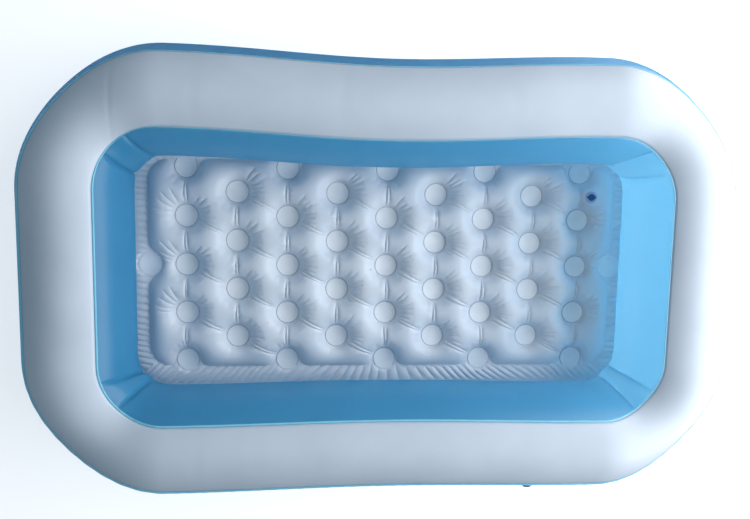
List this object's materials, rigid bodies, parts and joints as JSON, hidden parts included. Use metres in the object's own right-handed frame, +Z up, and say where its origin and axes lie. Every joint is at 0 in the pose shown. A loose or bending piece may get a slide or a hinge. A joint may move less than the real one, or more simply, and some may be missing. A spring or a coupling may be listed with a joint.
{
  "type": "inflatable paddling pool",
  "caption": "Rectangular inflatable paddling pool: one fat air ring with rounded corners round a tufted air floor, with a plug valve in the ring and one in the floor.",
  "frame": {"origin": "on the ground under the middle of the air ring", "axes": "+X along the pool's length, +Y across it to the back, +Z up"},
  "size_m": [1.6596, 1.0327, 0.28],
  "materials": {
    "white_film": "soft white vinyl film, slightly glossy",
    "blue_film": "blue vinyl film, glossy",
    "floor_film": "pale blue-grey vinyl film, glossy and wrinkled at its welds",
    "valve_vinyl": "dark blue soft moulded vinyl"
  },
  "bodies": {
    "pool": {"ring_top_panel": "white_film", "inner_wall_left_strip": "blue_film", "inner_wall_right_strip": "blue_film", "outer_wall_band": "blue_film", "ground_sheet": "blue_film", "floor_top_sheet": "floor_film", "floor_valve_base": "valve_vinyl", "ring_valve_base": "valve_vinyl"},
    "floor_stem": {"floor_valve_stem": "valve_vinyl"},
    "floor_stopper": {"floor_valve_stopper": "valve_vinyl"},
    "floor_flap": {"floor_valve_flap": "valve_vinyl"},
    "ring_stem": {"ring_valve_stem": "valve_vinyl"},
    "ring_stopper": {"ring_valve_stopper": "valve_vinyl"},
    "ring_flap": {"ring_valve_flap": "valve_vinyl"}
  },
  "joints": [
    {"name": "floor_stem_slide", "type": "slide", "parent": "pool", "child": "floor_stem", "axis": [0, 0, 1], "range_m": [0, 0.01]},
    {"name": "floor_stopper_hinge", "type": "hinge", "parent": "floor_stem", "child": "floor_stopper", "pos_m": [0.5455, 0.18755, 0.03715], "axis": [0, 1, 0], "range_deg": [0, 150]},
    {"name": "floor_flap_hinge", "type": "hinge", "parent": "floor_stem", "child": "floor_flap", "pos_m": [0.5412, 0.18755, 0.01585], "axis": [0, -1, 0], "range_deg": [0, 60], "stiffness_Nm_per_rad": 0.0002, "springref_deg": -17.19},
    {"name": "ring_stem_slide", "type": "slide", "parent": "pool", "child": "ring_stem", "axis": [0, -0.9616, 0.2745], "range_m": [0, 0.01]},
    {"name": "ring_stopper_hinge", "type": "hinge", "parent": "ring_stem", "child": "ring_stopper", "pos_m": [0.3615, -0.51183, 0.18413], "axis": [0, 0.2745, 0.9616], "range_deg": [0, 150]},
    {"name": "ring_flap_hinge", "type": "hinge", "parent": "ring_stem", "child": "ring_flap", "pos_m": [0.3572, -0.49135, 0.17828], "axis": [0, -0.2745, -0.9616], "range_deg": [0, 60], "stiffness_Nm_per_rad": 0.0002, "springref_deg": -17.19}
  ]
}
